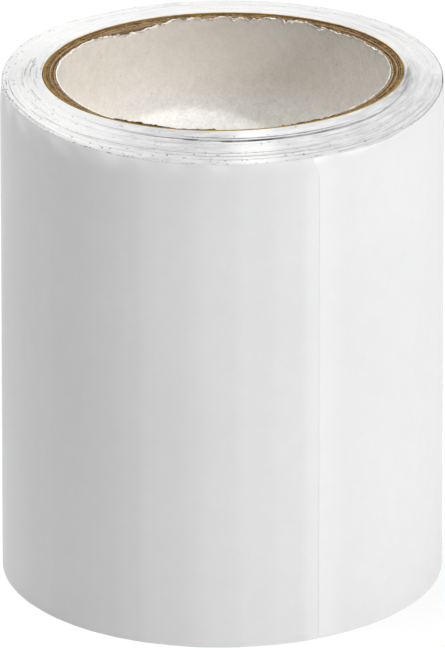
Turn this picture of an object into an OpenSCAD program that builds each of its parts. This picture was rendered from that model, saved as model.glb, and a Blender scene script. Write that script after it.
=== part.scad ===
// Roll of wide white tape, wound on a paperboard core and standing on end.
// Frame: +Z runs up the axis of the roll. The origin is on that axis, in the
// plane that the roll stands on. The free end of the tape is at the front (-Y),
// a little to the right (+X).
// All lengths are millimetres, all angles degrees.

/* [Core] */
// Radius of the bore of the paperboard tube (3 inch core)
core_bore_r = 38.1; // [30:0.1:46]
// Thickness of the white paper ply that lines the bore
core_liner_t = 0.26; // [0.16:0.02:0.5]
// Thickness of each brown kraft ply
core_ply_t = 0.48; // [0.3:0.02:0.7]
// Thickness of the outer ply
core_outer_t = 0.32; // [0.2:0.02:0.5]
// Glue line between two plies
glue_gap = 0.02; // [0.01:0.005:0.05]
// Length of the core
core_len = 119; // [60:0.5:150]
// Height of the lower end of the core above the standing plane
core_rise = 2.3; // [0.5:0.1:5]

/* [Tape] */
// Width of the tape, which is the height of the roll
tape_w = 119; // [60:0.5:150]
// Thickness of the white face film
film_t = 0.13; // [0.1:0.01:0.2]
// Thickness of the adhesive
adhesive_t = 0.05; // [0.05:0.01:0.08]
// Thickness of the release liner
release_t = 0.08; // [0.05:0.01:0.12]
// Seam between two bonded layers of the tape
bond_gap = 0.005; // [0.003:0.001:0.01]
// Air between one turn and the next
air_gap = 0.015; // [0.01:0.005:0.03]
// Whole turns wound under the tail
turns = 32; // [6:1:40]
// Turns next to the core that have slipped up with it
lip_turns = 3; // [0:1:5]

/* [Starter strip] */
// Width of the strip that holds the first turn to the core
strip_w = 12; // [6:1:20]
// Thickness of the strip
strip_t = 0.08; // [0.06:0.01:0.12]
// Clear of each end of the tape by this much
strip_end = 4; // [2:1:10]

/* [Tail] */
// Direction of the cut free end, seen from above, from +X
tail_end_dir = -64; // [-150:1:30]
// Arc of each link of the tail
link_arc = 15; // [8:1:18]
// Clearance between the tail and the turn under it
tail_lift = 0.1; // [0.08:0.01:0.3]
// Clearance between two links of the tail
link_gap = 0.05; // [0.03:0.01:0.1]
// Bare adhesive at the free end, where the liner is trimmed back
tab_len = 6; // [2:1:7]
// Height of the lower edge of the tail above the standing plane
tail_foot = 0.2; // [0.1:0.05:0.5]

/* [Hidden] */

$fn = 144;

link_n = 6;
ply_n = 5;

// Radii of the tube wall, from the bore outwards
r_liner_out = core_bore_r + core_liner_t;
function ply_in(i) = r_liner_out + glue_gap + (i - 1) * (core_ply_t + glue_gap);
r_outer_in = ply_in(ply_n + 1);
r_core = r_outer_in + core_outer_t;

// Offsets of the three layers inside one turn, from its inner face
off_release = 0;
off_adhesive = release_t + bond_gap;
off_film = off_adhesive + adhesive_t + bond_gap;
web_t = off_film + film_t;
pitch = web_t + air_gap;

// The first turn starts just clear of the starter strip
r_strip = r_core + 0.01;
r_start = r_strip + strip_t + 0.02;

// A turn is two half rings with centres a quarter pitch to either side of the
// axis, so that each half ring runs into the next and the radius grows by one
// pitch in a turn
halves = 2 * turns;
function half_r(k) = r_start + pitch / 4 + k * pitch / 2;
function half_x(k) = (k % 2 == 0) ? -pitch / 4 : pitch / 4;

// The tail goes on from the last half ring
tail_root_dir = tail_end_dir + link_n * link_arc;
tail_r = half_r(halves) + tail_lift;
gap_arc = link_gap / tail_r * 180 / PI;
tab_arc = tab_len / tail_r * 180 / PI;

c_white = [0.95, 0.95, 0.95];
c_liner = [0.90, 0.89, 0.84];
c_adhesive = [0.80, 0.80, 0.77];
c_paper = [0.87, 0.83, 0.78];
c_kraft = [0.55, 0.42, 0.27];
c_ochre = [0.55, 0.43, 0.12];

// A tube between two radii, standing at a height
module tube(ri, ro, z, h) {
  translate([0, 0, z])
    rotate_extrude()
      translate([ri, 0]) square([ro - ri, h]);
}

// Part of a ring, from one angle through an arc
module ring_arc(ri, t, z, h, from, arc) {
  translate([0, 0, z])
    rotate([0, 0, from])
      rotate_extrude(angle = arc)
        translate([ri, 0]) square([t, h]);
}

// The winding turns clockwise on its way out, seen from above, and meets the
// tail at its root
module wind() {
  rotate([0, 0, tail_root_dir]) mirror([0, 1, 0]) children();
}

// One layer of the wound tape: half rings joined end to end. The first turns
// stand as high as the core, the rest stand on the floor
function half_z(k) = k < 2 * lip_turns ? core_rise : 0;
module wound_layer(off, t) {
  wind()
    union()
      for (k = [0 : halves - 1])
        translate([half_x(k), 0, 0])
          ring_arc(half_r(k) + off, t, half_z(k), tape_w, (k % 2) * 180, 180);
}

// One layer of one link of the tail
module tail_layer(j, off, t, short = 0) {
  wind()
    translate([half_x(halves), 0, 0])
      ring_arc(tail_r + off, t, tail_foot, tape_w - tail_foot,
               (j - 1) * link_arc + gap_arc, link_arc - gap_arc - short);
}

module kraft_ply(i) {
  color(c_kraft) tube(ply_in(i), ply_in(i) + core_ply_t, core_rise, core_len);
}
module tail_liner(j) {
  color(c_liner) tail_layer(j, off_release, release_t, j == link_n ? tab_arc : 0);
}
module tail_adhesive(j) {
  color(c_adhesive) tail_layer(j, off_adhesive, adhesive_t);
}
module tail_film(j) {
  color(c_white) tail_layer(j, off_film, film_t);
}

// White paper ply that lines the bore
module core_inner_liner() {
  color(c_paper) tube(core_bore_r, r_liner_out, core_rise, core_len);
}
// Brown kraft plies of the tube wall, from the inside out
module core_kraft_ply_1() { kraft_ply(1); }
module core_kraft_ply_2() { kraft_ply(2); }
module core_kraft_ply_3() { kraft_ply(3); }
module core_kraft_ply_4() { kraft_ply(4); }
module core_kraft_ply_5() { kraft_ply(5); }
// Thin outer ply of the tube
module core_outer_ply() {
  color(c_ochre) tube(r_outer_in, r_core, core_rise, core_len);
}
// Strip along the core that holds the start of the tape
module starter_strip() {
  strip_arc = strip_w / r_strip * 180 / PI;
  color(c_adhesive)
    wind() ring_arc(r_strip, strip_t, core_rise + strip_end,
                    tape_w - core_rise - 2 * strip_end, 0, strip_arc);
}
// The three layers of the wound tape
module release_liner() { color(c_liner) wound_layer(off_release, release_t); }
module adhesive_layer() { color(c_adhesive) wound_layer(off_adhesive, adhesive_t); }
module reflective_film() { color(c_white) wound_layer(off_film, film_t); }
// The links of the tail, from its root to the cut end
module tail_liner_1() { tail_liner(1); }
module tail_liner_2() { tail_liner(2); }
module tail_liner_3() { tail_liner(3); }
module tail_liner_4() { tail_liner(4); }
module tail_liner_5() { tail_liner(5); }
module tail_liner_6() { tail_liner(6); }
module tail_adhesive_1() { tail_adhesive(1); }
module tail_adhesive_2() { tail_adhesive(2); }
module tail_adhesive_3() { tail_adhesive(3); }
module tail_adhesive_4() { tail_adhesive(4); }
module tail_adhesive_5() { tail_adhesive(5); }
module tail_adhesive_6() { tail_adhesive(6); }
module tail_film_1() { tail_film(1); }
module tail_film_2() { tail_film(2); }
module tail_film_3() { tail_film(3); }
module tail_film_4() { tail_film(4); }
module tail_film_5() { tail_film(5); }
module tail_film_6() { tail_film(6); }

core_inner_liner();
core_kraft_ply_1();
core_kraft_ply_2();
core_kraft_ply_3();
core_kraft_ply_4();
core_kraft_ply_5();
core_outer_ply();
starter_strip();
release_liner();
adhesive_layer();
reflective_film();
tail_liner_1();
tail_liner_2();
tail_liner_3();
tail_liner_4();
tail_liner_5();
tail_liner_6();
tail_adhesive_1();
tail_adhesive_2();
tail_adhesive_3();
tail_adhesive_4();
tail_adhesive_5();
tail_adhesive_6();
tail_film_1();
tail_film_2();
tail_film_3();
tail_film_4();
tail_film_5();
tail_film_6();
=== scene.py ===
import math

import bpy
import numpy as np
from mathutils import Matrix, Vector


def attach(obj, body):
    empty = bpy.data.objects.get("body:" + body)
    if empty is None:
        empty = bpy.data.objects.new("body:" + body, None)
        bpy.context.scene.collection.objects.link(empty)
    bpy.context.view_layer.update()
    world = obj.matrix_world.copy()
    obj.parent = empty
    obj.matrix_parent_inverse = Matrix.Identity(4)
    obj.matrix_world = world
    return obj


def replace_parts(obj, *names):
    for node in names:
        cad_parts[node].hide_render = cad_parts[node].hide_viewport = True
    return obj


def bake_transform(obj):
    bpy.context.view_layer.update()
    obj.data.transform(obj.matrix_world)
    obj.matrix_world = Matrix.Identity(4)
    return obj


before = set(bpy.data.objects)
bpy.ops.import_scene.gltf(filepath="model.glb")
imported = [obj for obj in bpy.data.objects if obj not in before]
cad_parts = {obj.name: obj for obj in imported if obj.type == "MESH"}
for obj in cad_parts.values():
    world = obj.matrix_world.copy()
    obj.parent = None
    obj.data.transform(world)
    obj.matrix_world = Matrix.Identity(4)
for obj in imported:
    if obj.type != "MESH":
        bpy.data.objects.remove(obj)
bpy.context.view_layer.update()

# ---------------------------------------------------------------------------
# Roll of wide white tape on a paperboard core. Lengths here are millimetres
# and become metres when a mesh is made. Angles run from +X, anticlockwise
# seen from above; the winding goes out clockwise.
# ---------------------------------------------------------------------------
MM = 0.001
W = 119.0                 # tape width
TURNS = 32
R_START = 41.31           # inner face of the first turn
PITCH = 0.285
LINER_T, ADH_T, FILM_T = 0.083, 0.054, 0.135
OFF_ADH, OFF_FILM = 0.084, 0.139
ROOT = 26.0               # direction of the root of the tail
TIP = -64.0               # direction of the cut free end
LINK = 15.0
CORE_FOOT = 2.3
BORE_R, LINING_T = 38.1, 0.26
PLY_T, GLUE = 0.48, 0.02
SKIN_IN, SKIN_OUT = 40.90, 41.22
ASIDE = 0.42              # the core sits a little to the right in the loose winding


def smooth(t):
    t = np.clip(t, 0.0, 1.0)
    return t * t * (3 - 2 * t)


def ring_noise(th, seed, lo, hi, fall=0.5):
    """Noise round a circle from harmonics lo to hi, with a spread of about 1."""
    rng = np.random.default_rng(seed)
    ks = np.unique(np.round(np.geomspace(lo, hi, 26)).astype(int))
    total = np.zeros_like(th)
    power = 0.0
    for k in ks:
        a = rng.uniform(0.5, 1.0) * (lo / k) ** fall
        total = total + a * np.cos(k * th + rng.uniform(0, 2 * math.pi))
        power += a * a / 2
    return total / math.sqrt(power)


def round_curve(points, soft):
    """A smooth periodic curve through (degrees, value) points."""
    pts = sorted(points)
    xs = [p[0] for p in pts]
    ys = [p[1] for p in pts]
    grid = np.arange(-180.0, 180.0)
    raw = np.interp(grid, [xs[-1] - 360] + xs + [xs[0] + 360], [ys[-1]] + ys + [ys[0]])
    k = np.arange(-40, 41)
    g = np.exp(-(k / soft) ** 2 / 2)
    g /= g.sum()
    wide = np.concatenate([raw[-40:], raw, raw[:40]])
    table = np.convolve(wide, g, mode="valid")

    def at(th):
        d = (np.degrees(th) + 180.0) % 360.0
        i = np.floor(d).astype(int) % 360
        f = d - np.floor(d)
        return table[i] * (1 - f) + table[(i + 1) % 360] * f
    return at


# --- heights of the upper end ------------------------------------------------
def value_noise(x, seed):
    """Smooth noise along a line with a knot at each whole number, between -1 and 1."""
    table = np.random.default_rng(seed).uniform(-1.0, 1.0, 1024)
    i = np.floor(x).astype(int)
    f = smooth(x - i)
    return table[i % 1024] * (1 - f) + table[(i + 1) % 1024] * f


def core_plane(th):
    """The core is cut a little out of square and stands proud of the tape."""
    return W + 2.58 + 0.46 * np.cos(th) - 2.07 * np.sin(th)


# the outer turns have worked up a little at the sides
rise_at = round_curve([(118, 0.0), (90, 0.0), (69, 0.4), (58, 0.65), (50, 0.9), (42, 1.1), (34, 1.25), (21, 1.3), (8, 1.15),
                       (0, 1.0), (-12, 0.8), (-25, 0.45), (-35, 0.05), (-45, -0.35), (-60, -0.2), (-75, 0.0), (-130, 0.0),
                       (-145, 0.45), (-156, 0.8), (-168, 0.8), (180, 0.8), (165, 0.8), (152, 0.85), (136, 0.6), (128, 0.25)], 4.0)


def cone_at(th):
    """How far the first turn stands above the outer rim: the roll has telescoped."""
    return core_plane(th) - W - rise_at(th) - 0.08


def fall_at(th):
    """Slope of the end of the roll, which the cut edge of each turn follows."""
    return 0.85 * cone_at(th) / (TURNS * PITCH)


# the open gap between slipped turns: the winding position that it follows, and how open it is. The gap is painted dark
# too, with dirt and painted shade.
gap_line = round_curve([(-9, 3.8), (-22, 6.4), (-37, 8.9), (-57, 9.2), (-75, 9.3), (-93, 8.9), (-106, 7.4),
                        (-120, 7.4), (-150, 7.4), (150, 5.0), (60, 3.8)], 4.0)
gap_open = round_curve([(-180, 0.0), (-145, 0.0), (-126, 0.12), (-112, 0.45), (-98, 0.80), (-84, 1.0), (-68, 0.95),
                        (-58, 0.65), (-45, 0.45), (-30, 0.35), (-15, 0.22), (-4, 0.10), (8, 0.0), (90, 0.0)], 4.0)
second_open = round_curve([(-180, 0.0), (-112, 0.0), (-98, 0.4), (-82, 0.9), (-62, 0.8), (-50, 0.3), (-40, 0.0),
                           (90, 0.0)], 4.0)
# shorter lines where a single turn stands low, painted dark with dirt and painted shade: position, middle of its arc,
# half arc, strength
LINES = ((21.7, -97, 40, 0.60), (24.6, -80, 26, 0.50), (27.2, -72, 30, 0.45), (14.5, -46, 20, 0.26),
         (17.8, -40, 24, 0.28), (20.4, -54, 22, 0.30), (25.5, -35, 20, 0.26), (29.0, -27, 18, 0.26),
         (12.5, -20, 12, 0.24), (23.0, -8, 10, 0.22), (27.5, -12, 12, 0.20), (30.1, -45, 16, 0.30),
         (4.2, 179, 6, 0.30), (9.3, 175, 8, 0.40), (12.6, 171, 6, 0.45), (15.4, -178, 9, 0.35),
         (26.5, -168, 14, 0.38), (29.4, -150, 14, 0.28), (18.2, -152, 10, 0.30), (22.5, -138, 14, 0.35),
         (1.6, -6, 9, 0.60), (2.8, -2, 7, 0.50), (18.0, 40, 3, 0.50), (24.0, 52, 2.5, 0.45),
         (20.0, 63, 2.2, 0.45), (12.0, 33, 2.5, 0.40), (27.0, 104, 3.0, 0.40), (22.0, 128, 3.0, 0.35),
         (8.3, 170, 3.0, 0.80), (9.6, 174, 3.5, 0.75), (10.7, 167, 2.5, 0.70), (13.2, 177, 4.0, 0.60), (1.2, 172, 5.0, 0.55),
         (6.4, -172, 5.0, 0.50), (11.6, -163, 6.0, 0.50), (28.2, -177, 3.0, 0.60), (30.4, -164, 7.0, 0.42), (30.6, -149, 8.0, 0.36),
         (24.4, -151, 5.0, 0.45))


def wander(n):
    """Sideways wander of the tape as it was wound."""
    z = (0.009 * value_noise(n / 0.07, 41) + 0.013 * value_noise(n / 0.23, 42)
         + 0.020 * value_noise(n / 1.1, 43) + 0.034 * value_noise(n / 4.3, 44))
    for at, amp, back in ((12.6, -0.04, 1.2), (16.1, 0.07, 1.0), (19.5, -0.06, 1.4), (22.0, 0.10, 0.9),
                          (25.7, -0.06, 1.0), (28.4, 0.08, 0.7), (30.3, -0.06, 0.5)):
        z = z + amp * smooth((n - at) / 0.12) * np.exp(-np.maximum(n - at, 0) / back)
    return z


def gap_marks(n, th):
    """How far the turn at n lies in the open gap, 0 to 1."""
    d = n - gap_line(th)
    one = smooth((d + 0.10) / 0.15) * smooth((1.50 - d) / 0.25) * gap_open(th)
    two = smooth((d + 2.60) / 0.15) * smooth((-1.40 - d) / 0.15) * second_open(th)
    return np.maximum(one, 0.75 * two)


def line_marks(n, th):
    """How far the turn at n stands low along one of the shorter lines, 0 to 1."""
    deg = np.degrees(th)
    total = np.zeros_like(n)
    for at, mid, half, amp in LINES:
        share = (ROOT - mid) / 360.0
        at = round(at - share) + share
        d = (deg - mid + 180.0) % 360.0 - 180.0
        total = np.maximum(total, amp * smooth((0.5 - np.abs(n - at)) / 0.08) * smooth((1 - np.abs(d) / half) / 0.35))
    return total


def tape_top(n, th):
    """Height of the upper edge of the tape at winding position n."""
    u = np.clip(n / TURNS, 0.0, 1.0)
    z = W + rise_at(th) + cone_at(th) * (1 - u) + wander(n) * smooth((TURNS + 0.3 - n) / 1.5) * (0.4 + 0.6 * smooth(n / 3.0))
    return z - 0.48 * gap_marks(n, th) - 0.06 * line_marks(n, th)


def tape_foot(n, th, top):
    foot = top - rise_at(th) - W + 0.03 * value_noise(n / 0.3, 45)
    return np.maximum(foot, 0.0)


# --- mesh helpers --------------------------------------------------------------
def mesh_piece(name, verts, quads, tris=None, floats=None, angle=40.0):
    """One mesh object from arrays, with float attributes on its points."""
    me = bpy.data.meshes.new(name)
    co = np.ascontiguousarray(verts, dtype=np.float32)
    q = np.asarray(quads, dtype=np.int32)
    parts = [q.ravel()]
    sizes = [np.full(len(q), 4, np.int32)]
    if tris is not None and len(tris):
        t = np.asarray(tris, dtype=np.int32)
        parts.append(t.ravel())
        sizes.append(np.full(len(t), 3, np.int32))
    loops = np.concatenate(parts)
    size = np.concatenate(sizes)
    start = np.concatenate([[0], np.cumsum(size)[:-1]]).astype(np.int32)
    me.vertices.add(len(co))
    me.vertices.foreach_set("co", co.ravel())
    me.loops.add(len(loops))
    me.loops.foreach_set("vertex_index", loops)
    me.polygons.add(len(size))
    me.polygons.foreach_set("loop_start", start)
    me.polygons.foreach_set("loop_total", size)
    me.polygons.foreach_set("use_smooth", np.ones(len(size), dtype=bool))
    for key, values in (floats or {}).items():
        a = me.attributes.new(key, "FLOAT", "POINT")
        a.data.foreach_set("value", np.ascontiguousarray(values, dtype=np.float32).ravel())
    me.update(calc_edges=True)
    me.validate()
    if angle:
        me.set_sharp_from_angle(angle=math.radians(angle))
    ob = bpy.data.objects.new(name, me)
    bpy.context.scene.collection.objects.link(ob)
    return ob


def sweep_faces(P, closed):
    """Points and faces of a solid from sections P[s, k]: each section is a closed outline. Not closed: the ends are capped."""
    S, K = P.shape[:2]
    idx = np.arange(S * K).reshape(S, K)
    a = idx if closed else idx[:-1]
    b = np.roll(idx, -1, axis=0) if closed else idx[1:]
    quads = np.stack([a, b, np.roll(b, -1, axis=1), np.roll(a, -1, axis=1)], -1).reshape(-1, 4)
    if not closed:
        # each cap is a strip between the two walls of the outline
        caps = []
        h = K // 2
        for row, flip in ((idx[0], False), (idx[-1], True)):
            for k in range(h - 1):
                f = [row[k], row[k + 1], row[K - 2 - k], row[K - 1 - k]]
                caps.append(f[::-1] if flip else f)
        quads = np.concatenate([quads, np.array(caps)])
    v = P.reshape(-1, 3)
    c = v.mean(0)
    p = v[quads] - c
    vol = (np.einsum("ij,ij->i", p[:, 0], np.cross(p[:, 1], p[:, 2]))
           + np.einsum("ij,ij->i", p[:, 0], np.cross(p[:, 2], p[:, 3]))).sum()
    if vol < 0:
        quads = quads[:, ::-1]
    return v, quads


def swept(name, P, closed, floats=None, angle=40.0):
    """One piece from sections P."""
    v, quads = sweep_faces(P, closed)
    return mesh_piece(name, v, quads, None, {k: x.ravel() for k, x in (floats or {}).items()}, angle)


def polar(r, th, z):
    return np.stack(np.broadcast_arrays(r * np.cos(th), r * np.sin(th), z), -1) * MM


# --- materials -------------------------------------------------------------------
class Look:
    """A small helper that writes one node material."""

    def __init__(self, name):
        self.mat = bpy.data.materials.new(name)
        self.mat.use_nodes = True
        self.nt = self.mat.node_tree
        self.nt.nodes.clear()
        self.out = self.nt.nodes.new("ShaderNodeOutputMaterial")
        self.bsdf = self.nt.nodes.new("ShaderNodeBsdfPrincipled")
        self.nt.links.new(self.bsdf.outputs[0], self.out.inputs[0])
        self.coord = self.nt.nodes.new("ShaderNodeTexCoord").outputs["Object"]

    def put(self, socket, value):
        if hasattr(value, "links"):
            self.nt.links.new(value, socket)
        else:
            socket.default_value = value

    def attr(self, name):
        n = self.nt.nodes.new("ShaderNodeAttribute")
        n.attribute_name = name
        return n.outputs["Fac"]

    def math(self, op, a, b=0.0, clamp=False):
        n = self.nt.nodes.new("ShaderNodeMath")
        n.operation = op
        n.use_clamp = clamp
        self.put(n.inputs[0], a)
        self.put(n.inputs[1], b)
        return n.outputs[0]

    def scaled(self, vec, s):
        n = self.nt.nodes.new("ShaderNodeVectorMath")
        n.operation = "MULTIPLY"
        self.put(n.inputs[0], vec)
        n.inputs[1].default_value = s
        return n.outputs[0]

    def lifted(self, vec, z):
        """vec with z added to its third part."""
        c = self.nt.nodes.new("ShaderNodeCombineXYZ")
        self.put(c.inputs[2], z)
        n = self.nt.nodes.new("ShaderNodeVectorMath")
        n.operation = "ADD"
        self.put(n.inputs[0], vec)
        self.put(n.inputs[1], c.outputs[0])
        return n.outputs[0]

    def noise(self, vec, scale, detail=3.0, rough=0.55, warp=0.0):
        n = self.nt.nodes.new("ShaderNodeTexNoise")
        self.put(n.inputs["Vector"], vec)
        n.inputs["Scale"].default_value = scale
        n.inputs["Detail"].default_value = detail
        n.inputs["Roughness"].default_value = rough
        n.inputs["Distortion"].default_value = warp
        return n.outputs["Fac"]

    def dots(self, vec, scale, inner, outer):
        """Round spots at random places: 1 inside, 0 outside."""
        n = self.nt.nodes.new("ShaderNodeTexVoronoi")
        n.feature = "F1"
        self.put(n.inputs["Vector"], vec)
        n.inputs["Scale"].default_value = scale
        return self.ramp(n.outputs["Distance"], inner, outer, 1.0, 0.0)

    def specks(self, vec, scale, inner, outer):
        """Round spots at random places, spread over x and y only."""
        n = self.nt.nodes.new("ShaderNodeTexVoronoi")
        n.voronoi_dimensions = "2D"
        n.feature = "F1"
        self.put(n.inputs["Vector"], vec)
        n.inputs["Scale"].default_value = scale
        return self.ramp(n.outputs["Distance"], inner, outer, 1.0, 0.0)

    def ramp(self, x, a, b, to0=0.0, to1=1.0):
        n = self.nt.nodes.new("ShaderNodeMapRange")
        n.interpolation_type = "SMOOTHSTEP"
        self.put(n.inputs["Value"], x)
        n.inputs["From Min"].default_value = a
        n.inputs["From Max"].default_value = b
        n.inputs["To Min"].default_value = to0
        n.inputs["To Max"].default_value = to1
        return n.outputs["Result"]

    def mix(self, fac, a, b):
        n = self.nt.nodes.new("ShaderNodeMix")
        n.data_type = "RGBA"
        self.put(n.inputs[0], fac)
        self.put(n.inputs[6], a if hasattr(a, "links") else (*a, 1.0))
        self.put(n.inputs[7], b if hasattr(b, "links") else (*b, 1.0))
        return n.outputs[2]

    def bump(self, height, strength, distance, normal=None):
        n = self.nt.nodes.new("ShaderNodeBump")
        n.inputs["Strength"].default_value = strength
        n.inputs["Distance"].default_value = distance
        self.put(n.inputs["Height"], height)
        if normal is not None:
            self.put(n.inputs["Normal"], normal)
        return n.outputs[0]

    def set(self, **values):
        for k, v in values.items():
            self.put(self.bsdf.inputs[k.replace("_", " ")], v)


def cut_edges(m, col, edge):
    """Painted shade over the end of the roll, grey lines, dirt and painted shade in the gaps between turns, dashes
    along the rim and specks.
    """
    grime, painted_shade, turn = m.attr("grime"), m.attr("painted_shade"), m.attr("turn")
    # painted shade: the end of the roll is mixed towards grey in patches, as far as its painted shade value says
    shade_smear = m.lifted(m.scaled(m.coord, (150.0, 150.0, 0.0)), m.math("MULTIPLY", turn, 0.30))
    shade_patch = m.noise(shade_smear, 1.0, 4.0, 0.6)
    col = m.mix(m.math("MULTIPLY", painted_shade, m.ramp(shade_patch, 0.30, 0.70, 0.30, 0.56)), col, (0.42, 0.425, 0.43))
    # fine grey lines that come and go along single turns
    along = m.lifted(m.scaled(m.coord, (60.0, 60.0, 0.0)), m.math("MULTIPLY", turn, 2.3))
    line = m.ramp(m.noise(along, 1.0, 3.0, 0.65), 0.56, 0.72)
    amount = m.math("MULTIPLY", m.math("MULTIPLY", m.ramp(painted_shade, 0.0, 1.0, 0.08, 0.34), edge), line)
    amount = m.math("MULTIPLY", amount, m.ramp(grime, 0.10, 0.60, 0.35, 1.0))
    col = m.mix(amount, col, (0.30, 0.30, 0.30))
    # dirt and painted shade in the gaps between turns and along the turns that stand low
    patchy = m.noise(m.lifted(m.scaled(m.coord, (300.0, 300.0, 0.0)), m.math("MULTIPLY", turn, 3.7)), 1.0, 2.0, 0.6)
    col = m.mix(m.math("MULTIPLY", m.attr("dirt_and_gap_shade"), m.ramp(patchy, 0.32, 0.62, 0.45, 0.95)), col, (0.085, 0.085, 0.082))
    # dashes along the rim, and specks
    fine = m.lifted(m.scaled(m.coord, (520.0, 520.0, 0.0)), m.math("MULTIPLY", turn, 1.3))
    small = m.noise(fine, 1.0, 2.0, 0.5)
    nick = m.noise(m.lifted(m.scaled(m.coord, (1150.0, 1150.0, 0.0)), m.math("MULTIPLY", turn, 1.3)), 1.0, 2.0, 0.6)
    col = m.mix(m.math("MULTIPLY", m.attr("dash"), m.ramp(nick, 0.53, 0.64)), col, (0.15, 0.15, 0.147))
    speck = m.math("MAXIMUM", m.dots(m.coord, 400.0, 0.045, 0.080), m.ramp(small, 0.64, 0.72, 0.0, 0.8))
    speck = m.math("MAXIMUM", speck, m.specks(m.coord, 170.0, 0.030, 0.052))
    return m.mix(m.math("MULTIPLY", m.math("MULTIPLY", speck, grime), edge, True), col, (0.10, 0.10, 0.097))


def film_look():
    m = Look("white_film")
    edge, turn = m.attr("edge"), m.attr("turn")
    broad = m.noise(m.coord, 22.0, 4.0)
    grain = m.noise(m.coord, 2300.0, 2.0)
    puff = m.noise(m.coord, 250.0, 3.0, 0.6)
    face = m.mix(m.ramp(broad, 0.3, 0.7), (0.736, 0.737, 0.739), (0.763, 0.763, 0.762))
    face = m.mix(m.ramp(puff, 0.32, 0.68, 0.0, 0.13), face, (0.655, 0.655, 0.657))
    face = m.mix(m.ramp(grain, 0.35, 0.65, 0.0, 0.09), face, (0.655, 0.655, 0.657))
    along = m.lifted(m.scaled(m.coord, (55.0, 55.0, 0.0)), m.math("MULTIPLY", turn, 2.3))
    streak = m.noise(along, 1.0, 3.0, 0.6)
    rim = m.mix(m.ramp(streak, 0.32, 0.68), (0.90, 0.90, 0.897), (0.985, 0.985, 0.985))
    # painted highlight lifts the face towards the white of the cut edges, under the rim and near the free end
    col = cut_edges(m, m.mix(m.math("MAXIMUM", edge, m.attr("painted_highlight")), face, rim), edge)
    m.set(Base_Color=col,
          Roughness=m.math("ADD", m.ramp(broad, 0.3, 0.7, 0.34, 0.44), m.math("MULTIPLY", edge, 0.2)),
          Normal=m.bump(grain, 0.12, 0.00003))
    m.bsdf.inputs["Specular IOR Level"].default_value = 0.32
    return m.mat


def adhesive_look():
    m = Look("adhesive")
    turn = m.attr("turn")
    along = m.lifted(m.scaled(m.coord, (90.0, 90.0, 30.0)), m.math("MULTIPLY", turn, 1.9))
    streak = m.noise(along, 1.0, 3.0, 0.6)
    col = m.mix(m.ramp(streak, 0.3, 0.7), (0.83, 0.83, 0.82), (0.93, 0.93, 0.92))
    m.set(Base_Color=cut_edges(m, col, m.attr("edge")), Roughness=m.ramp(streak, 0.3, 0.7, 0.35, 0.6),
          Normal=m.bump(m.noise(m.coord, 1500.0, 2.0), 0.2, 0.00003))
    return m.mat


def liner_look():
    m = Look("release_liner")
    turn = m.attr("turn")
    along = m.lifted(m.scaled(m.coord, (70.0, 70.0, 20.0)), m.math("MULTIPLY", turn, 2.1))
    streak = m.noise(along, 1.0, 3.0, 0.6)
    fibre = m.noise(m.scaled(m.coord, (1.0, 1.0, 0.35)), 900.0, 4.0, 0.6)
    col = m.mix(m.ramp(streak, 0.3, 0.7), (0.87, 0.867, 0.85), (0.95, 0.948, 0.938))
    m.set(Base_Color=cut_edges(m, col, m.attr("edge")), Roughness=m.ramp(fibre, 0.3, 0.7, 0.42, 0.6),
          Normal=m.bump(fibre, 0.15, 0.00003))
    return m.mat


def kraft_look():
    m = Look("kraft_board")
    cut, rad, tone = m.attr("cut"), m.attr("rad"), m.attr("tone")
    mottle = m.noise(m.coord, 520.0, 4.0, 0.68)
    fibre = m.noise(m.coord, 1900.0, 3.0, 0.65)
    body = m.mix(m.ramp(mottle, 0.34, 0.66), (0.125, 0.066, 0.019), (0.362, 0.214, 0.086))
    body = m.mix(m.math("MULTIPLY", tone, 0.8), body, (0.560, 0.405, 0.245))
    body = m.mix(m.ramp(fibre, 0.47, 0.70, 0.0, 0.75), body, (0.520, 0.350, 0.182))
    body = m.mix(m.ramp(fibre, 0.28, 0.46, 0.85, 0.0), body, (0.060, 0.034, 0.012))
    # glue lines are dark along both faces of the ply
    off = m.math("ABSOLUTE", m.math("SUBTRACT", rad, 0.5))
    side = m.math("MAXIMUM", m.ramp(off, 0.26, 0.44), m.ramp(rad, 0.34, 0.52, 1.0, 0.0))
    glue = m.math("MULTIPLY", m.math("MULTIPLY", side, cut), m.attr("glue"), True)
    glue = m.math("MULTIPLY", glue, m.ramp(m.noise(m.coord, 420.0, 3.0, 0.6), 0.36, 0.62, 1.0, 0.35))
    drift = m.noise(m.coord, 160.0, 3.0, 0.65)
    dim = m.math("MULTIPLY", m.ramp(m.attr("glue"), 1.0, 2.0, 0.0, 0.9), m.ramp(drift, 0.34, 0.64, 1.0, 0.15))
    col = m.mix(glue, m.mix(dim, body, (0.075, 0.042, 0.014)), (0.036, 0.020, 0.008))
    # painted shade on the bore-side face of the ply, down from its cut end between the plies
    col = m.mix(m.math("MULTIPLY", m.attr("deep"), 0.6), col, (0.045, 0.026, 0.010))
    m.set(Base_Color=col, Roughness=m.ramp(fibre, 0.3, 0.7, 0.75, 0.95),
          Normal=m.bump(fibre, 0.5, 0.00008))
    m.bsdf.inputs["Specular IOR Level"].default_value = 0.25
    return m.mat


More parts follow.
